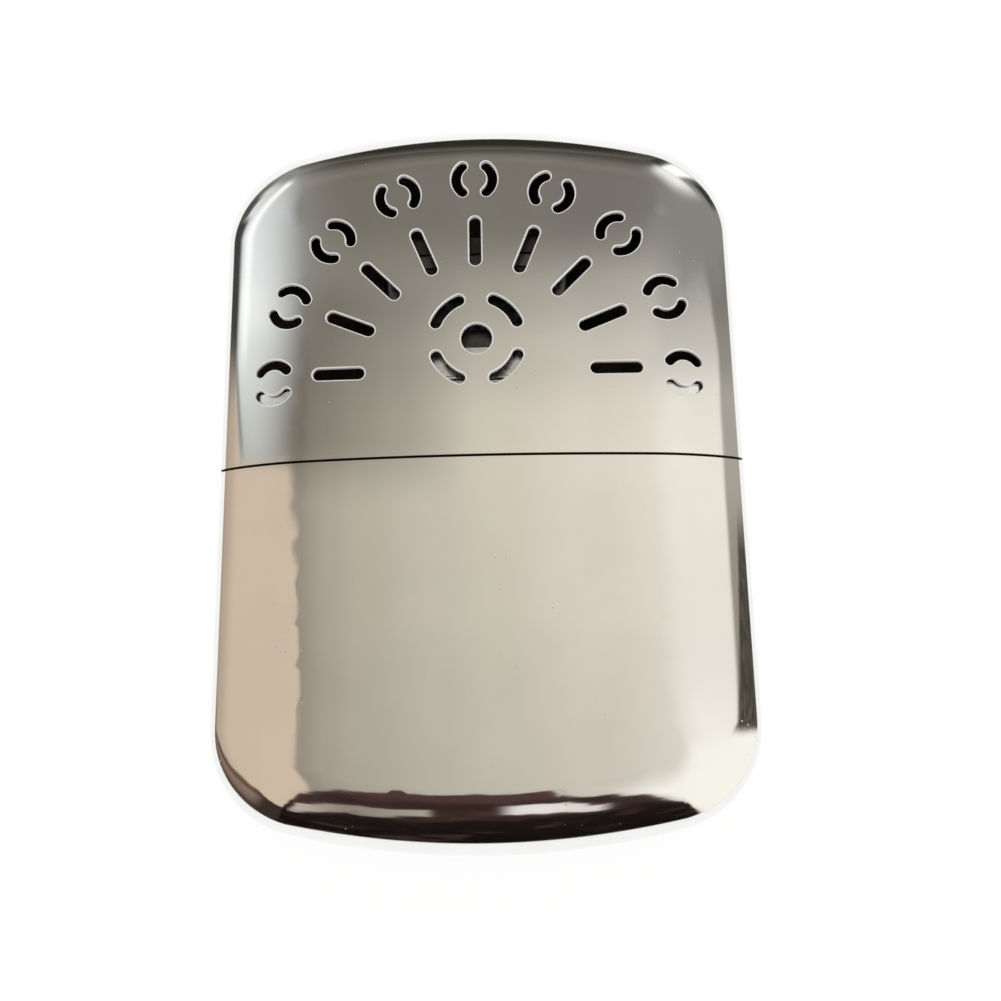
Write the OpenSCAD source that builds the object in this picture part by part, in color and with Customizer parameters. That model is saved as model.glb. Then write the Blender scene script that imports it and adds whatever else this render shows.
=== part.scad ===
// Catalytic pocket hand warmer, lying on its back.
// X runs across the case, Y from the tank's end to the cap's end, Z up through the vented front.
// The origin is the middle of the back face. Lengths are in millimetres.

/* [Case] */
// Width of the case across its long sides
case_w = 68; // [64:1:74]
// Length of the closed case
case_l = 95; // [90:1:102]
// Thickness of the case at its middle
case_t = 13; // [12.5:0.5:16]
// Thickness of the sheet that both shells are drawn from
shell_t = 0.5; // [0.4:0.05:0.7]
// Radius of the crown across each broad face
crown_r = 150; // [120:5:250]
// Width of the flat strip down the middle of each broad face
flat_w = 12; // [8:1:16]
// Radius of the shallow arc that closes each end
end_r = 105; // [85:5:140]
// Radius of the corners in front view
corner_r = 13; // [12.5:0.5:14]
// How far the rounding reaches in from each long side
side_round = 12; // [8:0.5:12]
// How far the rounding reaches in from each end
end_round = 8.5; // [6:0.5:9.5]
// Length of the tank shell, from its end to its rim
tank_l = 47.8; // [45:0.1:50]
// Open seam between the tank's rim and the cap's rim
seam_gap = 0.2; // [0.1:0.05:0.4]

/* [Tank closure] */
// Height of the collar above the tank's rim
collar_h = 10.5; // [9:0.5:12]
// Depth of the collar inside the tank's mouth
collar_depth = 5; // [3:0.5:7]
// Thickness of the closure's sheet
collar_t = 0.45; // [0.35:0.05:0.6]
// Clearance between the collar and the inside of both shells
cap_clearance = 0.15; // [0.12:0.01:0.25]
// Radius of the drawn edge round the deck
collar_edge_r = 1.2; // [0.8:0.1:1.6]
// Height of the pips that grip the cap
pip_h = 0.1; // [0.05:0.01:0.11]
// Diameter of a pip where it leaves the collar
pip_d = 2.4; // [1.8:0.1:3]

/* [Vents] */
// Height of the fan's centre above the seam
fan_rise = 10.8; // [10:0.1:12]
// Number of rays in the fan
fan_n = 9; // [5:2:9]
// Radius at the middle of the ray slots
slot_mid_r = 17.6; // [17:0.1:18.5]
// Angle between the first and the last ray slot
slot_fan_a = 177; // [170:1:180]
// Length of a ray slot, end to end
slot_l = 7; // [6:0.1:8]
// Width of a ray slot
slot_w = 1.7; // [1.4:0.1:2.2]
// Radius of the row of split rings
ring_row_r = 26.3; // [25.8:0.1:27]
// Angle between the first and the last split ring
ring_fan_a = 180; // [174:1:180]
// Radius at the middle of a split ring's cut
ring_r = 2.4; // [2.2:0.05:2.7]
// Width of a split ring's cut
ring_cut = 1.4; // [1.2:0.05:1.7]
// Half of the angle that each half of a split ring spans
ring_half_a = 52; // [45:1:56]
// Height of the hub's centre above the seam
hub_rise = 15.2; // [14.5:0.1:16.5]
// Diameter of the hub's hole
hub_hole_d = 4.2; // [3.6:0.1:4.8]
// Radius at the middle of the hub's four arcs
hub_ring_r = 5.7; // [5.2:0.1:6.4]
// Width of the hub's arcs
hub_cut = 1.65; // [1.4:0.05:2]
// Half of the angle that each hub arc spans
hub_half_a = 23.2; // [18:0.1:26]

/* [Filler neck] */
// Width of the neck
neck_w = 25; // [23:0.5:26]
// Thickness of the neck
neck_t = 6.2; // [6:0.1:6.8]
// Wall of the neck
neck_wall = 0.4; // [0.3:0.05:0.5]
// Height of the neck above the deck
neck_h = 4; // [3.8:0.1:4.2]
// Length of the neck below the deck
neck_drop = 2; // [1.2:0.1:2.4]
// How far the flange stands out round the neck
flange_out = 1.2; // [0.8:0.1:1.4]
// Thickness of the flange
flange_t = 0.4; // [0.3:0.05:0.5]
// Depth of the gauze below the neck's mouth
gauze_depth = 4.2; // [4:0.1:4.6]
// Thickness of the gauze plate
gauze_t = 0.4; // [0.3:0.05:0.5]
// Diameter of the holes in the gauze plate
gauze_hole_d = 1.2; // [0.8:0.1:1.3]
// Spacing of the holes in the gauze plate
gauze_pitch = 1.8; // [1.7:0.1:2.2]
// Gap round the gauze, felt and wadding
packing_gap = 0.1; // [0.05:0.05:0.3]
// Depth of the wadding's top below the deck
wadding_depth = 2.8; // [2.6:0.1:4]

/* [Burner] */
// Thickness of the burner's sheet
sheet_t = 0.35; // [0.3:0.05:0.4]
// Room for a grip spring at each end of the neck
spring_room = 1.75; // [1.5:0.05:2]
// Gap between the skirt and each broad side of the neck
skirt_gap = 0.75; // [0.7:0.05:1]
// Corner radius of the skirt
skirt_r = 2.6; // [2:0.1:3]
// How far the skirt reaches past the neck's mouth
skirt_over = 0.3; // [0.2:0.05:0.6]
// Gap between the skirt and the flange that it stands on
skirt_lift = 0.15; // [0.1:0.05:0.3]
// Thickness of the grid that floors the burner
grid_t = 0.4; // [0.3:0.05:0.5]
// How far the plates' faces stand back from the skirt's
plate_setback = 0.2; // [0.1:0.05:0.3]
// Height of the two burner plates
plate_h = 14.2; // [13.5:0.1:15]
// Width of the ears that the plates are riveted through
ear_w = 2.4; // [2.2:0.1:2.8]
// Height of the ears
ear_h = 11.6; // [10:0.1:12]
// Radius of the pressed edges of the plates
plate_r = 1.3; // [1:0.1:1.6]
// How far the windows stay from the plates' sides
window_side = 2; // [1.8:0.1:3.2]
// How far the windows stay from the plates' foot and from the lid
window_ends = 1.7; // [1.5:0.1:2.2]
// Corner radius of the windows
window_r = 1; // [0.6:0.1:1.5]
// How far the mesh reaches past its window
mesh_margin = 0.7; // [0.5:0.1:0.9]
// Thickness of the mesh screens
mesh_t = 0.25; // [0.2:0.05:0.3]
// Spacing of the openings in the mesh
mesh_pitch = 1.45; // [1.4:0.05:1.8]
// Width of the wire between two openings
mesh_wire = 0.4; // [0.3:0.05:0.5]
// Slot up the middle of the folded catalyst mat
mat_slot = 0.8; // [0.6:0.1:1.2]
// How far the rivets stand out from the middle of the ears
rivet_shift = 0.15; // [0:0.05:0.2]
// Diameter of the rivets' shanks
rivet_d = 1.1; // [0.9:0.1:1.2]
// Diameter of the rivets' heads
rivet_head_d = 1.8; // [1.6:0.1:1.9]
// Height of the rivets' heads
rivet_head_h = 0.35; // [0.25:0.05:0.5]
// Depth of the lid
lid_h = 2.2; // [1.8:0.1:2.6]
// Diameter of the holes in the lid and the grid
lid_hole_d = 1.5; // [1.2:0.1:1.7]
// Spacing of the holes in the lid and the grid
lid_pitch = 2.4; // [2.2:0.1:3]
// Width of a grip spring
spring_w = 3; // [2.4:0.1:3.2]
// Thickness of a grip spring
spring_t = 0.2; // [0.15:0.05:0.25]

/* [Hidden] */

// Fineness of the drawn forms: over half of an edge, round a corner, across the crown, on a plug
edge_steps = 8;
corner_steps = 9;
crown_steps = 3;
plug_steps = 4;
$fn = 48;

// Clearance where two pieces seat on each other, and how far a cut runs past a face
slip = 0.05;
overcut = 1;
// Distance from the crown's last flat to the corner's centre
crown_margin = 3;

// Case outline
half_w = case_w / 2;
half_l = case_l / 2;
mid_z = case_t / 2;
seam_y = tank_l - half_l;
corner_x = half_w - corner_r;
end_centre_y = half_l - end_r;
corner_y = end_centre_y + sqrt(pow(end_r - corner_r, 2) - pow(corner_x, 2));
corner_a = acos(corner_x / (end_r - corner_r));

// Heights along the case
deck_y = seam_y + collar_h;
neck_y = deck_y + neck_h;
gauze_y = neck_y - gauze_depth - gauze_t;
wadding_y = deck_y - wadding_depth;
skirt_y = deck_y + flange_t + skirt_lift;
skirt_top = neck_y + skirt_over;
skirt_h = skirt_top - skirt_y;
grid_y = skirt_top + slip;
plate_y = grid_y + grid_t + slip;
plate_top = plate_y + plate_h;
mat_y = plate_y + packing_gap;
lid_y = plate_top + slip + sheet_t - lid_h;
window_y = (plate_y + lid_y) / 2;
window_h = lid_y - plate_y - 2 * window_ends;

// Burner sections
skirt_w = neck_w + 2 * (spring_room + sheet_t);
skirt_t = neck_t + 2 * (skirt_gap + sheet_t);
plate_w = skirt_w - 2 * ear_w;
plate_t = skirt_t - 2 * plate_setback;
window_w = plate_w - 2 * window_side;
mesh_z = plate_t / 2 - sheet_t - slip - mesh_t;
mesh_w = window_w + 2 * mesh_margin;
mesh_h = window_h + 2 * mesh_margin;
mat_t = 2 * (mesh_z - packing_gap);
mat_w = plate_w - 2 * (sheet_t + packing_gap);
mat_h = plate_h - 2 * packing_gap;
rivet_x = (skirt_w + plate_w) / 4 + rivet_shift;
lid_w = plate_w + 2 * (slip + sheet_t);
lid_t = plate_t + 2 * (slip + sheet_t);
lid_r = plate_r + slip + sheet_t;

steel = [0.78, 0.77, 0.74];
nickel = [0.72, 0.70, 0.66];
dark_steel = [0.42, 0.40, 0.38];
cotton = [0.93, 0.92, 0.88];
glass_wool = [0.55, 0.54, 0.52];

// ---------------------------------------------------------------- drawn case forms

// Drop of the crown below the flat strip at a distance x from the middle
function crown_drop(x) =
    abs(x) <= flat_w / 2 ? 0 : sqrt(pow(crown_r, 2) - pow(flat_w / 2, 2)) - sqrt(pow(crown_r, 2) - x * x);

// The crown is drawn as long flats: their edges, from the flat strip out
crown_end_x = corner_x - crown_margin;
crown_x = [for (k = [0:crown_steps]) flat_w / 2 + (crown_end_x - flat_w / 2) * k / crown_steps];
crown_table = [for (x = concat([0], crown_x, [half_w])) [x, mid_z - crown_drop(x)]];
feet_x = concat([for (k = [crown_steps:-1:0]) crown_x[k]], [0], [for (x = crown_x) -x]);

// Half thickness of the case at a distance x from the middle
function half_t(x) = lookup(abs(x), crown_table);

// Width of the rounding where the outline's normal stands at angle a to +X
function round_w(a) =
    let (b = min(a, 180 - a))
    b >= corner_a ? end_round : end_round + (side_round - end_round) * pow(cos(90 * b / corner_a), 2);

// Point of the outline whose normal is at angle a, moved in by d
function outline(a, d) =
    a < corner_a ? [corner_x + (corner_r - d) * cos(a), corner_y + (corner_r - d) * sin(a)]
    : a > 180 - corner_a ? [-corner_x + (corner_r - d) * cos(a), corner_y + (corner_r - d) * sin(a)]
    : [(end_r - d) * cos(a), end_centre_y + (end_r - d) * sin(a)];

// Angle on the rounded edge at a step, from 90 on the front face to -90 on the back
function edge_a(j) = 90 - 90 * j / edge_steps;

// A rib over the rounded edge, from the front face round to the back, for a form set in by inset
function rib(a, inset) = [for (j = [0:2 * edge_steps])
    let (p = outline(a, inset + (round_w(a) - inset) * (1 - cos(edge_a(j)))))
    [p.x, p.y, mid_z + (half_t(p.x) - inset) * sin(edge_a(j))]];

// The same rib where a straight side is cut at y; side is 1 on the right and -1 on the left
function side_rib(side, y, inset) = [for (j = [0:2 * edge_steps])
    let (x = half_w - inset - (side_round - inset) * (1 - cos(edge_a(j))))
    [side * x, y, mid_z + (half_t(x) - inset) * sin(edge_a(j))]];

// Closed ring round the case's straight part at y
function section(y, inset) = concat(
    [for (p = side_rib(1, y, inset)) [p.x, y, 2 * mid_z - p.z]],
    [for (x = feet_x) [x, y, mid_z + half_t(x) - inset]],
    side_rib(-1, y, inset),
    [for (x = feet_x) [-x, y, mid_z - half_t(x) + inset]]);

// Angles of the ribs, from the right side round the end to the left side
rib_angles = concat(
    [for (k = [0:corner_steps]) corner_a * k / corner_steps],
    [for (x = feet_x) acos(x / (end_r - end_round))],
    [for (k = [corner_steps:-1:0]) 180 - corner_a * k / corner_steps]);

// One end of the case from y0 to the end at +Y, as a solid set in by inset all round
module case_end(inset, y0) {
    ribs = concat([side_rib(1, y0, inset)], [for (a = rib_angles) rib(a, inset)], [side_rib(-1, y0, inset)]);
    per = 2 * edge_steps + 1;
    n = len(ribs);
    feet_n = len(feet_x);
    // Each face starts with a row at the cut and one where the corners start
    front_feet = [for (y = [y0, corner_y], x = feet_x) [x, y, mid_z + half_t(x) - inset]];
    back_feet = [for (y = [y0, corner_y], x = feet_x) [x, y, mid_z - half_t(x) + inset]];
    foot = n * per;
    knee = foot + feet_n;
    heel = knee + feet_n;
    hock = heel + feet_n;
    // The ribs at the crown's edges follow the cut rib and the corner's ribs
    first_arc = corner_steps + 2;
    last_arc = first_arc + feet_n - 1;
    skin = [for (r = [0:n - 2]) for (j = [0:per - 2])
        each [[r * per + j, (r + 1) * per + j, (r + 1) * per + j + 1],
              [r * per + j, (r + 1) * per + j + 1, r * per + j + 1]]];
    front = concat(
        [[foot, knee, per, 0], concat([knee], [for (r = [first_arc:-1:1]) r * per])],
        [for (k = [0:feet_n - 2])
            each [[foot + k, foot + k + 1, knee + k + 1, knee + k],
                  [knee + k, knee + k + 1, (first_arc + k + 1) * per, (first_arc + k) * per]]],
        [concat([knee + feet_n - 1], [for (r = [n - 2:-1:last_arc]) r * per]),
         [foot + feet_n - 1, (n - 1) * per, (n - 2) * per, knee + feet_n - 1]]);
    back = concat(
        [[heel, per - 1, 2 * per - 1, hock], concat([hock], [for (r = [1:first_arc]) (r + 1) * per - 1])],
        [for (k = [0:feet_n - 2])
            each [[heel + k, hock + k, hock + k + 1, heel + k + 1],
                  [hock + k, (first_arc + k + 1) * per - 1, (first_arc + k + 2) * per - 1, hock + k + 1]]],
        [concat([hock + feet_n - 1], [for (r = [last_arc:n - 2]) (r + 1) * per - 1]),
         [heel + feet_n - 1, hock + feet_n - 1, (n - 1) * per - 1, n * per - 1]]);
    mouth = [concat(
        [for (j = [0:per - 1]) j],
        [for (k = [0:feet_n - 1]) heel + k],
        [for (j = [per - 1:-1:0]) (n - 1) * per + j],
        [for (k = [feet_n - 1:-1:0]) foot + k])];
    polyhedron(
        points = concat([for (r = ribs) each r], front_feet, back_feet),
        faces = concat(skin, front, back, mouth),
        convexity = 4);
}

// Solid through rings of equal length that follow each other along +Y
module loft(rings) {
    n = len(rings[0]);
    last = (len(rings) - 1) * n;
    sides = [for (k = [0:len(rings) - 2]) for (i = [0:n - 1])
        each [[k * n + i, k * n + (i + 1) % n, (k + 1) * n + (i + 1) % n],
              [k * n + i, (k + 1) * n + (i + 1) % n, (k + 1) * n + i]]];
    polyhedron(
        points = [for (r = rings) each r],
        faces = concat(sides, [[for (i = [n - 1:-1:0]) i]], [[for (i = [0:n - 1]) last + i]]),
        convexity = 4);
}

// Length of the case's straight part from y0 to y1, set in by inset, with its far edge rounded
module case_plug(inset, y0, y1, edge_r) {
    loft(concat([section(y0, inset)], [for (k = [0:plug_steps])
        let (a = 90 * k / plug_steps)
        section(y1 - edge_r * (1 - sin(a)), inset + edge_r * (1 - cos(a)))]));
}

// ---------------------------------------------------------------- profiles

// Stands a profile up the case from y for a length h; the profile's own Y lies along the thickness
module rise(y, h) {
    translate([0, y, mid_z]) rotate([90, 0, 0]) mirror([0, 0, 1]) linear_extrude(h, convexity = 4) children();
}

// Plane rectangle with round corners, about its middle
module rounded(w, t, r) {
    square([w - 2 * r, t], center = true);
    square([w, t - 2 * r], center = true);
    for (x = [-1, 1], y = [-1, 1]) translate([x * (w / 2 - r), y * (t / 2 - r)]) circle(r);
}

// Plane rectangle with half-round ends
module oval(w, t) {
    square([w - t, t], center = true);
    for (x = [-1, 1]) translate([x * (w - t) / 2, 0]) circle(d = t);
}

// Round-ended arc about the direction a, spanning half_a to each side
module arc(r, w, a, half_a) {
    rotate(a) {
        difference() {
            circle(r + w / 2);
            circle(r - w / 2);
            // Leaves only the sector in front of the centre
            polygon([for (q = concat([[0, 0]], [for (k = [0:4])
                let (b = half_a + k * (180 - half_a) / 2)
                3 * r * [cos(b), sin(b)]])) q]);
        }
        for (s = [-1, 1]) rotate(s * half_a) translate([r, 0]) circle(d = w);
    }
}

// Rows of round holes across a plane area w by t
module hole_rows(w, t, pitch, d) {
    columns = floor((w - d) / pitch);
    rows = floor((t - d) / pitch);
    for (i = [0:columns], j = [0:rows])
        translate([(i - columns / 2) * pitch, (j - rows / 2) * pitch]) circle(d = d, $fn = 24);
}

// Shallow dome of height h on a base of diameter d, standing on Z = 0
module dome(d, h) {
    r = (pow(d / 2, 2) + h * h) / (2 * h);
    intersection() {
        translate([0, 0, h - r]) sphere(r);
        cylinder(d = d, h = h);
    }
}

// ---------------------------------------------------------------- vents

// Directions of a fan that spreads evenly to both sides of +Y
function fan(spread) = [for (k = [0:fan_n - 1]) 90 + spread * (k / (fan_n - 1) - 1 / 2)];

// Every opening in the cap's front, as a plane pattern about the middle of the case
module vent_pattern() {
    translate([0, seam_y + fan_rise]) {
        for (a = fan(slot_fan_a)) rotate(a) translate([slot_mid_r, 0]) oval(slot_l, slot_w);
        for (a = fan(ring_fan_a), half = [90, 270])
            rotate(a) translate([ring_row_r, 0]) arc(ring_r, ring_cut, half, ring_half_a);
    }
    translate([0, seam_y + hub_rise]) {
        circle(d = hub_hole_d);
        for (a = [45:90:315]) arc(hub_ring_r, hub_cut, a, hub_half_a);
    }
}

// ---------------------------------------------------------------- case

module tank_shell() {
    color(nickel) rotate(180) difference() {
        case_end(0, -seam_y);
        case_end(shell_t, -seam_y - overcut);
    }
}

module cap_shell() {
    color(nickel) difference() {
        case_end(0, seam_y + seam_gap);
        case_end(shell_t, seam_y + seam_gap - overcut);
        translate([0, 0, mid_z]) linear_extrude(case_t, convexity = 8) vent_pattern();
    }
}

// Inverted cup soldered into the tank's mouth: its wall is the collar and its floor is the deck
module tank_closure() {
    inset = shell_t + cap_clearance;
    low_y = seam_y - collar_depth;
    color(steel) {
        difference() {
            case_plug(inset, low_y, deck_y, collar_edge_r);
            case_plug(inset + collar_t, low_y - overcut, deck_y - collar_t, collar_edge_r - collar_t);
            rise(deck_y - collar_h, collar_h + overcut) oval(neck_w + 2 * slip, neck_t + 2 * slip);
        }
        // Pips on both broad faces of the collar
        for (s = [0, 180]) translate([0, seam_y + collar_h / 2, mid_z]) rotate([0, s, 0])
            translate([0, 0, mid_z - inset]) dome(pip_d, pip_h);
    }
}

module filler_neck() {
    color(nickel) difference() {
        union() {
            rise(deck_y - neck_drop, neck_drop + neck_h) oval(neck_w, neck_t);
            rise(deck_y + slip, flange_t) oval(neck_w + 2 * flange_out, neck_t + 2 * flange_out);
        }
        rise(deck_y - neck_drop - overcut, neck_drop + neck_h + 2 * overcut)
            oval(neck_w - 2 * neck_wall, neck_t - 2 * neck_wall);
    }
}

// ---------------------------------------------------------------- fuel store

// Width and thickness of what is packed in the neck
pack_w = neck_w - 2 * (neck_wall + packing_gap);
pack_t = neck_t - 2 * (neck_wall + packing_gap);

module neck_gauze() {
    color(dark_steel) rise(gauze_y, gauze_t) difference() {
        oval(pack_w, pack_t);
        hole_rows(pack_w - pack_t / 2, pack_t - gauze_hole_d / 2, gauze_pitch, gauze_hole_d);
    }
}

module wick_felt() {
    color(cotton) rise(wadding_y + packing_gap, gauze_y - wadding_y - 2 * packing_gap) oval(pack_w, pack_t);
}

module fuel_wadding() {
    color(cotton) rotate(180) case_end(shell_t + cap_clearance + collar_t + packing_gap, -wadding_y);
}

// ---------------------------------------------------------------- burner

// Sleeve that slips over the neck
module burner_skirt() {
    color(steel) rise(skirt_y, skirt_h) difference() {
        rounded(skirt_w, skirt_t, skirt_r);
        rounded(skirt_w - 2 * sheet_t, skirt_t - 2 * sheet_t, skirt_r - sheet_t);
    }
}

// Floor of the burner, which lets the vapour through
module mat_grid() {
    color(steel) rise(grid_y, grid_t) difference() {
        rounded(skirt_w, skirt_t, skirt_r);
        hole_rows(mat_w, mat_t, lid_pitch, lid_hole_d);
    }
}

// Front half of the burner's case: a pressed pan with an ear down each side
module burner_pan() {
    difference() {
        union() {
            rise(plate_y, plate_h) rounded(plate_w, plate_t, plate_r);
            rise(plate_y, ear_h) square([skirt_w, slip + 2 * sheet_t], center = true);
        }
        rise(plate_y - overcut, plate_h + 2 * overcut)
            rounded(plate_w - 2 * sheet_t, plate_t - 2 * sheet_t, plate_r - sheet_t);
        // Half behind the joint between the two pans
        translate([-case_w / 2, plate_y - overcut, 0])
            cube([case_w, plate_h + 2 * overcut, mid_z + slip / 2]);
        translate([0, window_y, mid_z]) linear_extrude(plate_t) rounded(window_w, window_h, window_r);
        for (x = [-1, 1], y = rivet_ys)
            translate([x * rivet_x, y, mid_z]) cylinder(d = rivet_d + 2 * slip, h = plate_t);
    }
}

module burner_front() {
    color(steel) burner_pan();
}

module burner_back() {
    color(steel) translate([0, 0, mid_z]) rotate([0, 180, 0]) translate([0, 0, -mid_z]) burner_pan();
}

// Heights of the rivets on each pair of ears
rivet_ys = [plate_y + ear_h / 4, plate_y + ear_h * 3 / 4];

module burner_rivets() {
    ear_z = slip / 2 + sheet_t + slip;
    color(dark_steel) for (x = [-1, 1], y = rivet_ys) translate([x * rivet_x, y, mid_z]) {
        cylinder(d = rivet_d, h = 2 * ear_z, center = true);
        for (s = [0, 180]) rotate([0, s, 0]) translate([0, 0, ear_z]) dome(rivet_head_d, rivet_head_h);
    }
}

// Woven screen behind a window, drawn as a sheet with square openings
module mesh_screen() {
    opening = mesh_pitch - mesh_wire;
    columns = floor((mesh_w - mesh_wire) / mesh_pitch);
    rows = floor((mesh_h - mesh_wire) / mesh_pitch);
    linear_extrude(mesh_t, convexity = 4) difference() {
        square([mesh_w, mesh_h], center = true);
        for (i = [0:columns - 1], j = [0:rows - 1])
            translate([(i - (columns - 1) / 2) * mesh_pitch, (j - (rows - 1) / 2) * mesh_pitch])
                square(opening, center = true);
    }
}

module mesh_front() {
    color(dark_steel) translate([0, window_y, mid_z + mesh_z]) mesh_screen();
}

module mesh_back() {
    color(dark_steel) translate([0, window_y, mid_z - mesh_z - mesh_t]) mesh_screen();
}

// Glass-fibre catalyst, folded once at the top over a slot
module catalyst_mat() {
    fold_t = (mat_t - mat_slot) / 2;
    color(glass_wool) difference() {
        rise(mat_y, mat_h) rounded(mat_w, mat_t, plate_r);
        rise(mat_y - overcut, mat_h + overcut - fold_t) square([case_w, mat_slot], center = true);
    }
}

// Cup pressed over the top of the pans, with outlet holes
module burner_lid() {
    color(steel) difference() {
        rise(lid_y, lid_h) rounded(lid_w, lid_t, lid_r);
        rise(lid_y - overcut, lid_h + overcut - sheet_t)
            rounded(lid_w - 2 * sheet_t, lid_t - 2 * sheet_t, lid_r - sheet_t);
        rise(lid_y, lid_h + overcut) hole_rows(mat_w, mat_t, lid_pitch, lid_hole_d);
    }
}

// Bowed leaf between the skirt's right end and the neck
module grip_spring() {
    span = skirt_h - 4 * spring_t;
    bow = spring_room - spring_t - 2 * slip;
    r = (span * span / 4 + bow * bow) / (2 * bow);
    wall_x = neck_w / 2 + spring_room - slip;
    translate([wall_x + r - bow, skirt_y + skirt_h / 2, mid_z - spring_w / 2])
        linear_extrude(spring_w) difference() {
            circle(r + spring_t);
            circle(r);
            translate([bow - r, -2 * r]) square(4 * r);
        }
}

module grip_spring_right() {
    color(steel) grip_spring();
}

module grip_spring_left() {
    color(steel) mirror([1, 0, 0]) grip_spring();
}

tank_shell();
tank_closure();
filler_neck();
neck_gauze();
wick_felt();
fuel_wadding();
burner_skirt();
burner_front();
burner_back();
burner_lid();
mat_grid();
catalyst_mat();
mesh_front();
mesh_back();
burner_rivets();
grip_spring_left();
grip_spring_right();
cap_shell();
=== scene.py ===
import math
from functools import reduce

import bpy
from mathutils import Matrix, Vector
from mathutils.geometry import delaunay_2d_cdt


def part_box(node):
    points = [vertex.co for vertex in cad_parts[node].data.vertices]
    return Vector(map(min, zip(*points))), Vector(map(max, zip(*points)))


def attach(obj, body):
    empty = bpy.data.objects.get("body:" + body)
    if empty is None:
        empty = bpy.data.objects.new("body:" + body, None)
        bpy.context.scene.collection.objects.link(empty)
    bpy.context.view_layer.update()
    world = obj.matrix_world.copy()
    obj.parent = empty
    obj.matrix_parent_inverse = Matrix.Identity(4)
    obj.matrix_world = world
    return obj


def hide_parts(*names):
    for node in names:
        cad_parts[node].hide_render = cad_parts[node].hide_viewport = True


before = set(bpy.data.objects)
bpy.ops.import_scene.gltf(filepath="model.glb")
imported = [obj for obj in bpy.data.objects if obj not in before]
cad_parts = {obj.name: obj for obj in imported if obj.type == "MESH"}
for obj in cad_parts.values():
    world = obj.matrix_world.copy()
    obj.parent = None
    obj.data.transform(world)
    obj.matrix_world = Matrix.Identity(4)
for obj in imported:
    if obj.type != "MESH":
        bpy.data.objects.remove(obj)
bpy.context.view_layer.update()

MM = 0.001

# ------------------------------------------------------------------ sizes, in millimetres


def node_box(node):
    """Low and high corner of a node's box, in millimetres."""
    return [corner * 1000 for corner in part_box(node)]


CAP_LOW, CAP_HIGH = node_box("cap_shell")
HALF_W = CAP_HIGH[0]
HALF_L = CAP_HIGH[1]
MID_Z = CAP_HIGH[2] / 2
SEAM_Y = node_box("tank_shell")[1][1]
CAP_RIM_Y = CAP_LOW[1]

# The case's form
WALL = 0.5
CROWN_R = 167.0
CORNER_R = 13.0
END_R = 105.0
SIDE_ROUND = 12.0
END_ROUND = 8.5
CORNER_X = HALF_W - CORNER_R
END_CENTRE_Y = HALF_L - END_R
CORNER_Y = END_CENTRE_Y + math.sqrt((END_R - CORNER_R) ** 2 - CORNER_X ** 2)
CORNER_A = math.acos(CORNER_X / (END_R - CORNER_R))
LIP_R = 0.07

# The case's grid: ribs round its edge, then a face of triangles inside them
FACE_EDGE_ANGLE = math.radians(56)
FACE_ROWS = (61, 66, 72, 79, 90)
FACE_PITCH = 1.25
RIB_PITCH = 2.5
CORNER_RIBS, END_RIBS = 22, 36
RIB_STEPS, RIM_STEPS, LIP_STEPS = 26, 44, 6
SLOPE_STEP = 0.004
# How far the face's own points keep from the cut, the ribs and the openings
GRID_START, GRID_LOWEST, RIB_CLEAR, STROKE_CLEAR = 0.6, 0.45, 0.4, 0.25

# The vents
FAN_Y = SEAM_Y + 10.8
HUB_Y = SEAM_Y + 15.2
FAN_N = 9
SLOT_FAN = 177.0
SLOT_R, SLOT_L, SLOT_W = 17.6, 6.7, 1.5
RING_ROW_R, RING_R, RING_CUT, RING_HALF = 26.3, 2.38, 1.25, 50.0
HUB_HOLE_R, HUB_RING_R, HUB_CUT, HUB_HALF = 1.95, 5.6, 1.4, 22.0
ARC_STEPS, SLOT_STEPS, CAP_STEPS, HOLE_STEPS = 14, 12, 10, 40
ROLL_R, ROLL_STEPS = 0.2, 5
# No stroke reaches farther than this from its first point
STROKE_REACH = 9.0

# The tank's closure
COLLAR_INSET, COLLAR_T, COLLAR_ROUND = 0.65, 0.45, 1.2
COLLAR_LOW = SEAM_Y - 5.0
DECK_Y = SEAM_Y + 10.5
DRAW_STEPS, EDGE_STEPS = 8, 6
PIP_D, PIP_H, PIP_Y = 2.4, 0.1, SEAM_Y + 5.25
PIP_RINGS, PIP_SIDES = 5, 24
NECK_W, NECK_T, NECK_STEPS = 25.1, 6.3, 24


# ------------------------------------------------------------------ meshes with worked-out normals

# A shell's finishes, numbered as its materials are
OUTER, INNER, ROLLED = 0, 1, 2


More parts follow.
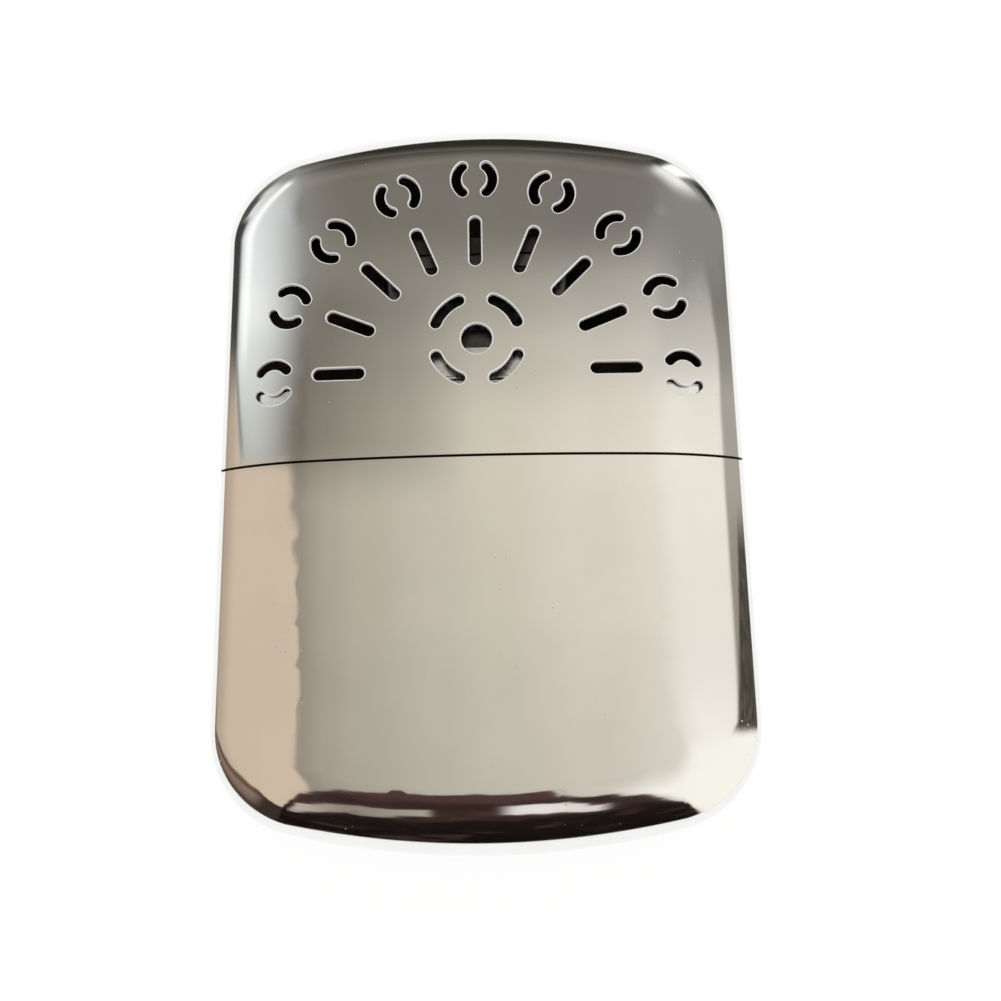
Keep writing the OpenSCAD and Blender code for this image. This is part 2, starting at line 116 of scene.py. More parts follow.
class Skin:
    """Faces with a normal at each corner; points that fall together are one vertex."""

    def __init__(self):
        self.index = {}
        self.points = []
        self.faces = []
        self.normals = []
        self.finishes = []
        self.finish = OUTER

    def vertex(self, p):
        key = (round(p[0], 5), round(p[1], 5), round(p[2], 5))
        if key not in self.index:
            self.index[key] = len(self.points)
            self.points.append(tuple(float(c) for c in p))
        return self.index[key]

    def face(self, corners, normals):
        ids, kept = [], []
        for p, n in zip(corners, normals):
            i = self.vertex(p)
            if i not in ids:
                ids.append(i)
                kept.append(Vector(n).normalized())
        if len(ids) < 3:
            return
        a, b, c = (Vector(self.points[i]) for i in ids[:3])
        flat = (b - a).cross(c - a)
        if len(ids) == 4:
            d = Vector(self.points[ids[3]])
            flat = (c - a).cross(d - b)
        if flat.dot(sum(kept, Vector())) < 0:
            ids.reverse()
            kept.reverse()
        self.faces.append(ids)
        self.finishes.append(self.finish)
        self.normals.extend(kept)

    def grid(self, points, normals, closed=False):
        """Quads between rows of points of equal length."""
        rows, columns = len(points), len(points[0])
        for i in range(rows - 1):
            for j in range(columns if closed else columns - 1):
                k = (j + 1) % columns
                at = ((i, j), (i, k), (i + 1, k), (i + 1, j))
                self.face([points[r][c] for r, c in at], [normals[r][c] for r, c in at])

    def build(self, name):
        mesh = bpy.data.meshes.new(name)
        mesh.from_pydata([Vector(p) * MM for p in self.points], [], self.faces)
        mesh.validate(verbose=False)
        for polygon, finish in zip(mesh.polygons, self.finishes):
            polygon.use_smooth = True
            polygon.material_index = finish
        if len(mesh.loops) == len(self.normals):
            mesh.normals_split_custom_set(self.normals)
        mesh.update()
        piece = bpy.data.objects.new(name, mesh)
        bpy.context.scene.collection.objects.link(piece)
        return piece


# ------------------------------------------------------------------ the case's form

def rounding_width(angle):
    b = min(angle, math.pi - angle)
    if b >= CORNER_A:
        return END_ROUND
    return END_ROUND + (SIDE_ROUND - END_ROUND) * math.cos(math.pi / 2 * b / CORNER_A) ** 2


def outline(angle, depth):
    """Point of the outline whose normal is at an angle to +X, moved in by a depth."""
    c, s = math.cos(angle), math.sin(angle)
    if angle < CORNER_A:
        return CORNER_X + (CORNER_R - depth) * c, CORNER_Y + (CORNER_R - depth) * s
    if angle > math.pi - CORNER_A:
        return -CORNER_X + (CORNER_R - depth) * c, CORNER_Y + (CORNER_R - depth) * s
    return (END_R - depth) * c, END_CENTRE_Y + (END_R - depth) * s


def crown(x):
    return MID_Z - x * x / (2 * CROWN_R)


def depth_and_width(x, y):
    """Distance in from the outline, and the width of the rounding there."""
    x, y = abs(x), abs(y)
    angle = math.atan2(y - CORNER_Y, x - CORNER_X)
    if x > CORNER_X and y > CORNER_Y and angle < CORNER_A:
        return CORNER_R - math.hypot(x - CORNER_X, y - CORNER_Y), rounding_width(angle)
    side = HALF_W - x
    end = END_R - math.hypot(x, y - END_CENTRE_Y)
    if side < end:
        return side, SIDE_ROUND
    return end, END_ROUND


def face_height(x, y, inset):
    """Height of the front face over the middle plane, set in by inset."""
    depth, width = depth_and_width(x, y)
    t = min(max((depth - inset) / (width - inset), 0.0), 1.0)
    return (crown(x) - inset) * math.sqrt(1 - (1 - t) ** 2)


def slope_normal(height, x, y):
    e = SLOPE_STEP
    dx = (height(x + e, y) - height(x - e, y)) / (2 * e)
    dy = (height(x, y + e) - height(x, y - e)) / (2 * e)
    return Vector((-dx, -dy, 1)).normalized()


def spread(a, b, n):
    return [a + (b - a) * i / n for i in range(n + 1)]


def rib_path(y0):
    """Angle, or side and height, of each rib from the right side round the end to the left."""
    count = max(2, round((CORNER_Y - y0) / RIB_PITCH))
    straight = [("side", 1, y) for y in spread(y0, CORNER_Y, count)][:-1]
    corner = [("round", a, 0) for a in spread(0, CORNER_A, CORNER_RIBS)]
    end_x = (END_R - END_ROUND) * math.cos(CORNER_A)
    top = [("round", math.acos(x / (END_R - END_ROUND)), 0) for x in spread(end_x, -end_x, END_RIBS)][1:-1]
    left = [("round", math.pi - a, 0) for _, a, _ in reversed(corner)]
    down = [("side", -1, y) for _, _, y in reversed(straight)]
    return straight + corner + top + left + down


def rib_point(station, angle, inset):
    """Point on a rib at an angle over the middle plane."""
    kind, a, y = station
    fall = 1 - math.cos(angle)
    if kind == "side":
        x = a * (HALF_W - inset - (SIDE_ROUND - inset) * fall)
    else:
        x, y = outline(a, inset + (rounding_width(a) - inset) * fall)
    return Vector((x, y, MID_Z + (crown(x) - inset) * math.sin(angle)))


def rib_normal(station, angle, inset):
    """Normal on a rib, from its neighbours on both sides."""
    e = SLOPE_STEP
    along = rib_point(station, angle + e, inset) - rib_point(station, angle - e, inset)
    kind, a, y = station
    if kind == "side":
        across = Vector((0, 1, 0))
    else:
        step = 1e-4
        low, high = max(a - step, 0), min(a + step, math.pi)
        across = rib_point((kind, high, y), angle, inset) - rib_point((kind, low, y), angle, inset)
    n = across.cross(along).normalized()
    outward = Vector(rib_point(station, 0, inset)) - Vector((0, 0, MID_Z))
    centre = Vector((outward.x * 0.5, outward.y * 0.5, MID_Z))
    if n.dot(rib_point(station, angle, inset) - centre) < 0:
        n = -n
    return n


# ------------------------------------------------------------------ the vents

def vent_strokes():
    """Each opening as a round-ended stroke: the points of its middle line, and half its width."""
    strokes = []

    def arc(cx, cy, r, middle, half, width):
        line = []
        for t in spread(middle - half, middle + half, ARC_STEPS):
            line.append((cx + r * math.cos(math.radians(t)), cy + r * math.sin(math.radians(t))))
        strokes.append((line, width / 2))

    for k in range(FAN_N):
        share = k / (FAN_N - 1) - 0.5
        a = math.radians(90 + SLOT_FAN * share)
        low, high = SLOT_R - (SLOT_L - SLOT_W) / 2, SLOT_R + (SLOT_L - SLOT_W) / 2
        line = [(r * math.cos(a), FAN_Y + r * math.sin(a)) for r in spread(low, high, SLOT_STEPS)]
        strokes.append((line, SLOT_W / 2))
        a = math.radians(90 + 180 * share)
        cx, cy = RING_ROW_R * math.cos(a), FAN_Y + RING_ROW_R * math.sin(a)
        for half in (90, 270):
            arc(cx, cy, RING_R, math.degrees(a) + half, RING_HALF, RING_CUT)
    for middle in (45, 135, 225, 315):
        arc(0, HUB_Y, HUB_RING_R, middle, HUB_HALF, HUB_CUT)
    strokes.append(([(0, HUB_Y)], HUB_HOLE_R))
    return strokes


def stroke_loop(line, half_w):
    """Points round a stroke, each with its outward direction in plan."""
    if len(line) == 1:
        cx, cy = line[0]
        turns = [2 * math.pi * i / HOLE_STEPS for i in range(HOLE_STEPS)]
        return [((cx + half_w * math.cos(t), cy + half_w * math.sin(t)), (math.cos(t), math.sin(t)))
                for t in turns]

    def heading(i):
        a, b = line[max(i - 1, 0)], line[min(i + 1, len(line) - 1)]
        return math.atan2(b[1] - a[1], b[0] - a[0])

    last = len(line) - 1
    loop = [(line[i], heading(i) - math.pi / 2) for i in range(last + 1)]
    for k in range(1, CAP_STEPS):
        loop.append((line[last], heading(last) - math.pi / 2 + math.pi * k / CAP_STEPS))
    for i in range(last, -1, -1):
        loop.append((line[i], heading(i) + math.pi / 2))
    for k in range(1, CAP_STEPS):
        loop.append((line[0], heading(0) + math.pi / 2 + math.pi * k / CAP_STEPS))
    return [((p[0] + half_w * math.cos(t), p[1] + half_w * math.sin(t)), (math.cos(t), math.sin(t)))
            for p, t in loop]


def stroke_distance(x, y, line, half_w):
    """Distance in plan from a stroke's edge; negative inside."""
    if len(line) == 1:
        return math.hypot(x - line[0][0], y - line[0][1]) - half_w
    best = 1e9
    for (ax, ay), (bx, by) in zip(line, line[1:]):
        ux, uy = bx - ax, by - ay
        t = min(max(((x - ax) * ux + (y - ay) * uy) / (ux * ux + uy * uy), 0), 1)
        best = min(best, math.hypot(x - ax - t * ux, y - ay - t * uy))
    return best - half_w


def near_stroke(x, y, strokes, clear):
    """Whether a point in plan is inside a stroke or closer to its edge than clear."""
    for line, half_w in strokes:
        if abs(x - line[0][0]) < STROKE_REACH and abs(y - line[0][1]) < STROKE_REACH:
            if stroke_distance(x, y, line, half_w) < clear:
                return True
    return False


# ------------------------------------------------------------------ building a shell

def face_points(path, inset, y0, strokes, clear):
    """Plan points inside the face: rows along the ribs, then an even grid over the rest."""
    points = []
    for station in path[::2]:
        for degrees in FACE_ROWS:
            p = rib_point(station, math.radians(degrees), inset)
            points.append((p.x, p.y))
    nx, ny = int(HALF_W / FACE_PITCH) + 1, int(HALF_L / FACE_PITCH) + 2
    for i in range(-nx, nx + 1):
        for j in range(0, ny + 1):
            x, y = (i + 0.5 * (j % 2)) * FACE_PITCH, y0 + GRID_START + j * FACE_PITCH
            depth, width = depth_and_width(x, max(y, 0.001))
            if y < HALF_L and depth > width + RIB_CLEAR:
                points.append((x, y))
    lowest = y0 + GRID_LOWEST
    return [(x, y) for x, y in points if y >= lowest and not near_stroke(x, y, strokes, clear)]


def face_panel(skin, path, inset, y0, strokes, side, flip, roll):
    """The face inside the ribs, front (side 1) or back (side -1), with holes for strokes."""
    rim = [rib_point(s, FACE_EDGE_ANGLE, inset) for s in path]
    right, left = rim[0], rim[-1]
    across = [(right.x + (left.x - right.x) * t, y0) for t in spread(0, 1, RIM_STEPS)]
    points = [(p.x, p.y) for p in rim] + across[-2:0:-1]
    edges = closed_edges(0, len(points))
    for line, half_w in strokes:
        ring = stroke_loop(line, half_w + roll)
        edges += closed_edges(len(points), len(ring))
        points.extend(p for p, _ in ring)
    points.extend(face_points(path, inset, y0, strokes, roll + STROKE_CLEAR))
    flat, _, triangles, origins, _, _ = delaunay_2d_cdt([Vector(p) for p in points], edges, [], 1, 1e-6)

    def height(x, y):
        return face_height(x, y, inset)

    sign = -1 if flip else 1
    made = []
    for p, origin in zip(flat, origins):
        x, y = points[origin[0]] if origin else p
        n = slope_normal(height, x, y)
        z = rim[origin[0]].z - MID_Z if origin and origin[0] < len(rim) else height(x, y)
        made.append((Vector((x, y, MID_Z + side * z)), sign * Vector((n.x, n.y, side * n.z))))
    for triangle in triangles:
        cx = sum(flat[i].x for i in triangle) / 3
        cy = sum(flat[i].y for i in triangle) / 3
        if not near_stroke(cx, cy, strokes, roll - 0.01):
            skin.face([made[i][0] for i in triangle], [made[i][1] for i in triangle])


def closed_edges(start, count):
    """Edges of a closed ring of points, numbered from start."""
    return [(start + i, start + (i + 1) % count) for i in range(count)]


def edge_ribs(skin, path, inset, flip):
    """The rounding round the case's edge, from the front face to the back face."""
    sign = -1 if flip else 1
    angles = spread(FACE_EDGE_ANGLE, -FACE_EDGE_ANGLE, RIB_STEPS)
    points = [[rib_point(s, a, inset) for a in angles] for s in path]
    normals = [[sign * rib_normal(s, a, inset) for a in angles] for s in path]
    skin.grid(points, normals)


def rim_ring(inset, y):
    """Closed ring where the case is cut at y: round the right edge, over the front, and back."""
    ring = []
    angles = spread(-FACE_EDGE_ANGLE, FACE_EDGE_ANGLE, RIB_STEPS)
    right = [rib_point(("side", 1, y), a, inset) for a in angles]
    left = [rib_point(("side", -1, y), a, inset) for a in reversed(angles)]
    x0, x1 = right[-1].x, left[0].x
    front = [x0 + (x1 - x0) * t for t in spread(0, 1, RIM_STEPS)][1:-1]
    ring.extend(right)
    ring.extend(Vector((x, y, MID_Z + face_height(x, 0, inset))) for x in front)
    ring.extend(left)
    ring.extend(Vector((x, y, MID_Z - face_height(x, 0, inset))) for x in reversed(front))
    return ring


def lip(skin, y0, y_tip):
    """Rounded rim between the outer and the inner skin."""
    outer, inner = rim_ring(0, y0), rim_ring(WALL, y0)
    rows, normals = [], []
    for t in spread(0, math.pi, LIP_STEPS):
        row, facing = [], []
        for a, b in zip(outer, inner):
            middle, half = (a + b) / 2, (a - b) / 2
            row.append(middle + half * math.cos(t) + Vector((0, (y_tip - y0) * math.sin(t), 0)))
            tip = Vector((0, math.copysign(1, y_tip - y0) * math.sin(t), 0))
            facing.append(half.normalized() * math.cos(t) + tip)
        rows.append(row)
        normals.append(facing)
    skin.grid(rows, normals, closed=True)


def roll_holes(skin, strokes):
    """Rolled edge and wall of each opening in the front face."""
    def height(px, py):
        return face_height(px, py, 0)

    for line, half_w in strokes:
        rows, normals = [], []
        for t in spread(0, math.pi / 2, ROLL_STEPS):
            out = ROLL_R * (1 - math.sin(t))
            drop = ROLL_R * (1 - math.cos(t))
            row, facing = [], []
            for (x, y), (ux, uy) in stroke_loop(line, half_w + out):
                n = slope_normal(height, x, y)
                row.append(Vector((x, y, MID_Z + height(x, y) - drop)))
                facing.append(n * math.cos(t) - Vector((ux, uy, 0)) * math.sin(t))
            rows.append(row)
            normals.append(facing)
        low, across = [], []
        for (x, y), (ux, uy) in stroke_loop(line, half_w):
            low.append(Vector((x, y, MID_Z + face_height(x, y, WALL))))
            across.append(-Vector((ux, uy, 0)))
        skin.grid(rows, normals, closed=True)
        skin.grid([rows[-1], low], [across, across], closed=True)


def shell(name, y_tip, end_sign, strokes):
    """A drawn shell, built with its closed end at +Y and then turned if it belongs at -Y."""
    skin = Skin()
    y0 = y_tip + LIP_R
    path = rib_path(y0)
    for inset, flip, roll, finish in ((0, False, ROLL_R, OUTER), (WALL, True, 0, INNER)):
        skin.finish = finish
        edge_ribs(skin, path, inset, flip)
        face_panel(skin, path, inset, y0, strokes, 1, flip, roll)
        face_panel(skin, path, inset, y0, [], -1, flip, 0)
    # The lip takes the inner finish, painted shade that draws the seam as a dark line.
    skin.finish = INNER
    lip(skin, y0, y_tip)
    skin.finish = ROLLED
    roll_holes(skin, strokes)
    if end_sign < 0:
        skin.points = [(-x, -y, z) for x, y, z in skin.points]
        skin.normals = [Vector((-n.x, -n.y, n.z)) for n in skin.normals]
    return skin.build(name)


# ------------------------------------------------------------------ node materials

class Paint:
    """A node material with short ways to add its nodes."""

    def __init__(self, name):
        self.material = bpy.data.materials.new(name)
        self.material.use_nodes = True
        self.tree = self.material.node_tree
        self.tree.nodes.clear()
        self.place = self.node("ShaderNodeTexCoord").outputs["Object"]

    def node(self, kind, **settings):
        made = self.tree.nodes.new(kind)
        for key, value in settings.items():
            setattr(made, key, value)
        return made

    def link(self, value, socket):
        if isinstance(value, bpy.types.NodeSocket):
            self.tree.links.new(value, socket)
        elif isinstance(value, (tuple, list)) and len(value) == 3 and socket.type == "RGBA":
            socket.default_value = (*value, 1)
        else:
            socket.default_value = value

    def texture(self, kind, scale, stretch, **settings):
        """A texture node on the stretched coordinates."""
        mapping = self.node("ShaderNodeMapping")
        self.link(self.place, mapping.inputs["Vector"])
        mapping.inputs["Scale"].default_value = stretch
        made = self.node(kind, **settings)
        self.link(mapping.outputs["Vector"], made.inputs["Vector"])
        made.inputs["Scale"].default_value = scale
        return made

    def noise(self, scale, detail=3, stretch=(1, 1, 1), rough=0.5):
        made = self.texture("ShaderNodeTexNoise", scale, stretch)
        made.inputs["Detail"].default_value = detail
        made.inputs["Roughness"].default_value = rough
        return made.outputs["Fac"]

    def cells(self, scale, stretch=(1, 1, 1), feature="F1"):
        return self.texture("ShaderNodeTexVoronoi", scale, stretch, feature=feature).outputs["Distance"]

    def part(self, value, low, high, to_low=0.0, to_high=1.0, smooth=True):
        """A value's way from low to high, as 0 to 1 or as to_low to to_high."""
        made = self.node("ShaderNodeMapRange", interpolation_type="SMOOTHSTEP" if smooth else "LINEAR")
        for key, number in (("From Min", low), ("From Max", high), ("To Min", to_low), ("To Max", to_high)):
            made.inputs[key].default_value = number
        self.link(value, made.inputs["Value"])
        return made.outputs["Result"]

    def maths(self, operation, a, b=0.0):
        made = self.node("ShaderNodeMath", operation=operation)
        self.link(a, made.inputs[0])
        self.link(b, made.inputs[1])
        return made.outputs[0]

    def total(self, *terms):
        return reduce(lambda a, b: self.maths("ADD", a, b), terms)

    def product(self, *terms):
        return reduce(lambda a, b: self.maths("MULTIPLY", a, b), terms)

    def mix(self, share, a, b, blend="MIX"):
        made = self.node("ShaderNodeMix", data_type="RGBA", blend_type=blend)
        self.link(share, made.inputs["Factor"])
        self.link(a, made.inputs[6])
        self.link(b, made.inputs[7])
        return made.outputs[2]

    def bump(self, height, distance):
        made = self.node("ShaderNodeBump")
        made.inputs["Distance"].default_value = distance
        made.inputs["Strength"].default_value = 1.0
        self.link(height, made.inputs["Height"])
        return made.outputs["Normal"]

    def blend(self, share, a, b):
        """One shader or the other, by a share."""
        made = self.node("ShaderNodeMixShader")
        self.link(share, made.inputs[0])
        self.link(a, made.inputs[1])
        self.link(b, made.inputs[2])
        return made.outputs[0]

    def show(self, kind, shader):
        self.link(shader, self.node(kind).inputs["Surface"])

    def finish(self, colour, rough, metallic, normal):
        surface = self.node("ShaderNodeBsdfPrincipled")
        self.link(colour, surface.inputs["Base Color"])
        self.link(rough, surface.inputs["Roughness"])
        surface.inputs["Metallic"].default_value = metallic
        self.link(normal, surface.inputs["Normal"])
        self.show("ShaderNodeOutputMaterial", surface.outputs["BSDF"])
        return self.material


def plain_metal(name, light, dark, rough, grain, stretch=(1, 1, 1), metallic=1.0):
    """Metal with cloudy tone and a fine grain in its finish."""
    paint = Paint(name)
    cloud = paint.part(paint.noise(220, 4), 0.3, 0.7)
    fine = paint.noise(grain, 3, stretch)
    colour = paint.mix(cloud, light, dark)
    return paint.finish(colour, paint.part(fine, 0.3, 0.7, rough - 0.05, rough + 0.07),
                        metallic, paint.bump(fine, 0.00001))


def collar_metal(name):
    """Bright drawn sheet, with painted shade, a near-black band, where the cap's rim meets the tank's."""
    paint = Paint(name)
    split = paint.node("ShaderNodeSeparateXYZ")
    paint.link(paint.place, split.inputs[0])
    along = paint.total(split.outputs[1], paint.product(paint.noise(800, 3), 0.0006))
    # Painted shade: the collar turns near-black, and rougher, in a band at the seam, where the gap between the
    # shells gets little light.
    seam_shade = paint.product(paint.part(along, -0.0006, 0.0002), paint.part(along, 0.0018, 0.0009))
    fine = paint.noise(1600, 3)
    bright = paint.mix(paint.part(paint.noise(220, 4), 0.3, 0.7), (0.95, 0.94, 0.91), (0.86, 0.84, 0.81))
    colour = paint.mix(seam_shade, bright, (0.03, 0.027, 0.025))
    rough = paint.total(paint.part(fine, 0.3, 0.7, 0.14, 0.24), paint.product(seam_shade, 0.3))
    return paint.finish(colour, rough, 1.0, paint.bump(fine, 0.00001))


def nickel(name, haze):
    """Drawn and polished nickel: faint draw lines across, soft waves, thin scratches and specks."""
    paint = Paint(name)
    lines = paint.noise(2600, 4, (0.05, 1, 0.05))
    haze_map = paint.noise(120, 5)
    wave = paint.noise(60, 2)
    scratch = paint.part(paint.cells(300, (0.3, 1, 0.3), "DISTANCE_TO_EDGE"), 0.0, 0.015, 1, 0)
    thin = paint.product(scratch, paint.part(paint.noise(400, 2), 0.56, 0.68))
    specks = paint.product(paint.part(paint.cells(900), 0.10, 0.05),
                           paint.part(paint.noise(130, 3), 0.55, 0.62))
    colour = paint.mix(paint.part(haze_map, 0.3, 0.75), (0.83, 0.80, 0.74), (0.80, 0.77, 0.71))
    rough = paint.total(paint.part(haze_map, 0.35, 0.75, haze, haze + 0.03),
                        paint.product(thin, 0.05), paint.product(specks, 0.6))
    height = paint.total(paint.product(lines, 0.012), paint.product(wave, 0.3),
                         paint.product(thin, -0.02), paint.product(specks, 0.12))
    return paint.finish(colour, rough, 1.0, paint.bump(height, 0.00004))


def fibre(name, light, dark, grain):
    """Matt fibres: strands of two tones that stand out a little."""
    paint = Paint(name)
    strands = paint.noise(grain, 5, (1, 0.35, 1), 0.7)
    colour = paint.mix(paint.part(strands, 0.3, 0.7), dark, light)
    return paint.finish(colour, 0.95, 0.0, paint.bump(strands, 0.0002))


CASE = nickel("case_nickel_worn", 0.055)
# Punched edge: a burnished edge, made pale and only half metal so that the rolled rims of the vents show painted
# highlight.
EDGE = plain_metal("punched_edge_painted_highlight", (0.92, 0.92, 0.92), (0.84, 0.84, 0.84), 0.38, 1500, metallic=0.35)
# Painted shade: the case's inner skin and the lip at its rim are a near-black brown, so the vents and the seam
# look dark.
SHADED_INSIDE = plain_metal("case_inside_painted_shade", (0.125, 0.10, 0.085), (0.06, 0.048, 0.04), 0.55, 1500)
STEEL = plain_metal("burner_steel_worn", (0.84, 0.83, 0.80), (0.70, 0.69, 0.66), 0.26, 1800)
BURNT = plain_metal("burner_steel_heated", (0.15, 0.14, 0.135), (0.06, 0.055, 0.052), 0.34, 1800)
DRAWN = collar_metal("drawn_steel_worn")
LID = plain_metal("burner_lid_heated", (0.075, 0.062, 0.054), (0.04, 0.033, 0.028), 0.42, 1800)
WIRE = plain_metal("dark_wire", (0.09, 0.085, 0.08), (0.045, 0.042, 0.04), 0.45, 3000)
SPRING = plain_metal("spring_steel_worn", (0.72, 0.71, 0.70), (0.60, 0.59, 0.58), 0.28, 2200,
                     stretch=(1, 0.2, 1))
NECK = plain_metal("neck_nickel_worn", (0.82, 0.80, 0.76), (0.70, 0.68, 0.64), 0.24, 1400)
COTTON = fibre("cotton_wool", (0.93, 0.91, 0.86), (0.78, 0.75, 0.68), 1400)
FELT = fibre("wick_felt_wool", (0.88, 0.85, 0.77), (0.70, 0.66, 0.58), 1800)
GLASS = fibre("catalyst_glass", (0.085, 0.08, 0.077), (0.025, 0.024, 0.023), 2000)


def dress(piece, *materials):
    """Gives a piece its materials; its faces keep the ones that they are numbered for."""
    numbers = [polygon.material_index for polygon in piece.data.polygons]
    piece.data.materials.clear()
    for material in materials:
        piece.data.materials.append(material)
    for polygon, number in zip(piece.data.polygons, numbers):
        polygon.material_index = min(number, len(materials) - 1)


# ------------------------------------------------------------------ the shells

cap = shell("cap_shell_smooth", CAP_RIM_Y, 1, vent_strokes())
dress(cap, CASE, SHADED_INSIDE, EDGE)
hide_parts("cap_shell")
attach(cap, "cap")

tank = shell("tank_shell_smooth", -SEAM_Y, -1, [])
dress(tank, CASE, SHADED_INSIDE, EDGE)
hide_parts("tank_shell")
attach(tank, "tank")


# ------------------------------------------------------------------ the tank's closure

def ring_normals(ring):
    """Outward direction in the section's plane at each point of a closed ring."""
    out = []
    for i, p in enumerate(ring):
        along = ring[(i + 1) % len(ring)] - ring[i - 1]
        n = Vector((along.z, 0, -along.x)).normalized()
        out.append(n if n.dot(p - Vector((0, p.y, MID_Z))) > 0 else -n)
    return out


def neck_loop(y):
    """Points round the neck's section at y."""
    r = NECK_T / 2
    loop = []
    for side in (1, -1):
        for k in range(NECK_STEPS + 1):
            a = -math.pi / 2 + math.pi * k / NECK_STEPS
            x = side * (NECK_W / 2 - r + r * math.cos(a))
            loop.append(Vector((x, y, MID_Z + side * r * math.sin(a))))
    return loop


def deck_face(skin, inset, y, facing):
    """Flat deck between the case's section and the neck."""
    rim, hole = rim_ring(inset, y), neck_loop(y)
    points = [(p.x, p.z) for p in rim + hole]
    edges = closed_edges(0, len(rim)) + closed_edges(len(rim), len(hole))
    flat, _, triangles, _, _, _ = delaunay_2d_cdt([Vector(p) for p in points], edges, [], 1, 1e-6)
    r = NECK_T / 2
    for triangle in triangles:
        x = sum(flat[i][0] for i in triangle) / 3
        z = sum(flat[i][1] for i in triangle) / 3 - MID_Z
        if math.hypot(max(abs(x) - (NECK_W / 2 - r), 0), z) < r:
            continue
        skin.face([(flat[i][0], y, flat[i][1]) for i in triangle], [facing] * 3)


def closure():
    """Drawn cup in the tank's mouth: its wall is the collar, its floor the deck round the neck."""
    skin = Skin()
    for sunk, sign in ((0, 1), (COLLAR_T, -1)):
        inset, deck, round_r = COLLAR_INSET + sunk, DECK_Y - sunk, COLLAR_ROUND - sunk
        rows = [(inset, y, 0.0) for y in spread(COLLAR_LOW, deck - round_r, DRAW_STEPS)]
        for a in spread(0, math.pi / 2, EDGE_STEPS)[1:]:
            rows.append((inset + round_r * (1 - math.cos(a)), deck - round_r * (1 - math.sin(a)), a))
        points, normals = [], []
        for depth, y, a in rows:
            ring = rim_ring(depth, y)
            points.append(ring)
            normals.append([sign * (n * math.cos(a) + Vector((0, math.sin(a), 0))) for n in ring_normals(ring)])
        skin.grid(points, normals, closed=True)
        deck_face(skin, inset + round_r, deck, Vector((0, sign, 0)))
    hole = [neck_loop(y) for y in (DECK_Y, DECK_Y - COLLAR_T)]
    skin.grid(hole, [[Vector((0, DECK_Y, MID_Z)) - p.xyz for p in hole[0]]] * 2, closed=True)
    low = [rim_ring(COLLAR_INSET + sunk, COLLAR_LOW) for sunk in (0, COLLAR_T)]
    skin.grid(low, [[Vector((0, -1, 0))] * len(low[0])] * 2, closed=True)
    pip_r = (PIP_D ** 2 / 4 + PIP_H ** 2) / (2 * PIP_H)
    for side in (1, -1):
        base = Vector((0, PIP_Y, MID_Z + side * (crown(0) - COLLAR_INSET + PIP_H - pip_r)))
        normals = []
        for k in range(PIP_RINGS + 1):
            a = math.asin(PIP_D / 2 / pip_r) * (1 - k / PIP_RINGS)
            turns = [2 * math.pi * i / PIP_SIDES for i in range(PIP_SIDES)]
            normals.append([Vector((math.sin(a) * math.cos(t), math.sin(a) * math.sin(t), side * math.cos(a)))
                            for t in turns])
        skin.grid([[base + n * pip_r for n in row] for row in normals], normals, closed=True)
    return skin.build("tank_closure_smooth")


cup = closure()
dress(cup, DRAWN)
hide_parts("tank_closure")
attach(cup, "tank")


# ------------------------------------------------------------------ soft pieces

SOFT_CUTS = 26
WADDING_SIDES, WADDING_ROWS, WADDING_GAP = 96, 60, 0.12
HALVINGS = 30


def noise3(p):
    """Smooth unevenness from 0 to 1."""
    total = 0.0
    for k, (a, b, c) in enumerate(((1.3, 0.7, 2.1), (-0.9, 1.9, 1.1), (2.3, -1.2, 0.6), (0.5, 2.6, -1.7))):
        total += math.sin(a * p.x + b * p.y + c * p.z + 1.7 * k)
    return 0.5 + total / 8


def smooth_piece(name, points, faces):
    """A smooth-shaded object from points in metres."""
    mesh = bpy.data.meshes.new(name)
    mesh.from_pydata(points, [], faces)
    for polygon in mesh.polygons:
        polygon.use_smooth = True
    mesh.update()
    piece = bpy.data.objects.new(name, mesh)
    bpy.context.scene.collection.objects.link(piece)
    return piece


def soft_block(name, node, material, body, round_r, lumps):
    """A soft block with rounded edges and an uneven surface inside a node's box."""
    low, high = node_box(node)
    middle, half = (low + high) / 2, (high - low) / 2
    r = min(round_r, *half)
    points, faces = [], []
    index = {}

    def vertex(u, v, w):
        key = (round(u, 6), round(v, 6), round(w, 6))
        if key not in index:
            index[key] = len(points)
            p = Vector((u * half.x, v * half.y, w * half.z))
            core = Vector([max(min(p[i], half[i] - r), r - half[i]) for i in range(3)])
            away = p - core
            if away.length > 1e-9:
                p = core + away.normalized() * min(r, away.length)
            p -= p.normalized() * (lumps * (noise3(p * 0.9) * 0.7 + noise3(p * 2.3) * 0.3))
            points.append((p + middle) * MM)
        return index[key]

    steps = spread(-1, 1, SOFT_CUTS)
    for axis in range(3):
        for sign in (-1, 1):
            for a, b in zip(steps, steps[1:]):
                for c, d in zip(steps, steps[1:]):
                    corners = []
                    for p, q in ((a, c), (b, c), (b, d), (a, d)):
                        uvw = [0, 0, 0]
                        uvw[axis] = sign
                        uvw[(axis + 1) % 3], uvw[(axis + 2) % 3] = p, q
                        corners.append(vertex(*uvw))
                    faces.append(corners[::sign])
    piece = smooth_piece(name, points, faces)
    dress(piece, material)
    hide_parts(node)
    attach(piece, body)


def equator(y, inset):
    """Half width of the case at y, set in by inset, at the middle of its thickness."""
    low, high = 0.0, HALF_W
    for _ in range(HALVINGS):
        x = (low + high) / 2
        if depth_and_width(x, y)[0] > inset:
            low = x
        else:
            high = x
    return low


